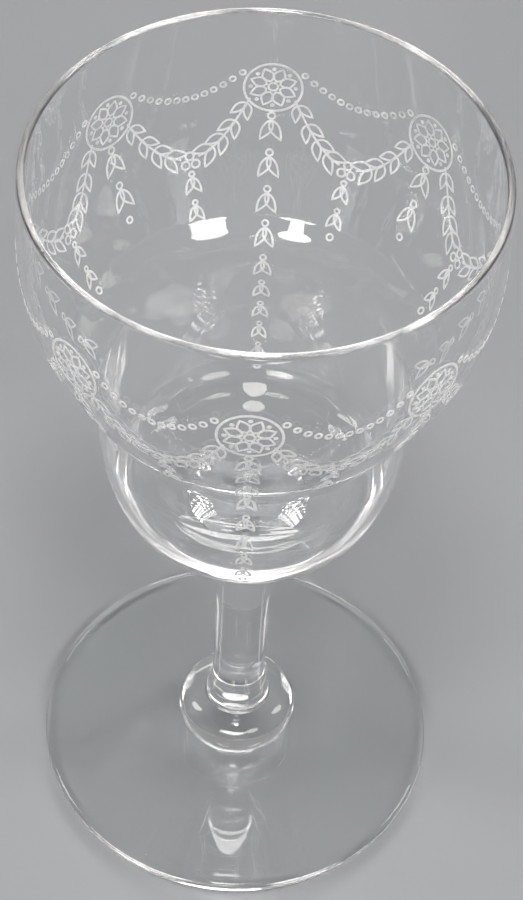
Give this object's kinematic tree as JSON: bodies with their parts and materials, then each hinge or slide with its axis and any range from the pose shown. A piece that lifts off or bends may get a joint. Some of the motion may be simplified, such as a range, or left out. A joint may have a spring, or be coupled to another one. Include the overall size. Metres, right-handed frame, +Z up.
{
  "type": "water goblet",
  "caption": "Clear glass water goblet with a stepped bowl, a flared stem on a flattened knop and a thin round foot, etched with rosettes, pearls, leaf swags and hanging husks.",
  "frame": {"origin": "on the axis of the goblet, in the plane that the foot rests on", "axes": "+Z up along the goblet's axis; +Y is away from the picture's camera and +X is to its right"},
  "size_m": [0.0802, 0.0802, 0.1625],
  "materials": {
    "bowl_glass": "polished, with frosted etched lines on the outside",
    "stem_glass": "polished",
    "knop_glass": "polished",
    "foot_glass": "polished"
  },
  "bodies": {
    "root": {"bowl": "bowl_glass", "stem": "stem_glass", "knop": "knop_glass", "foot": "foot_glass"}
  },
  "joints": []
}
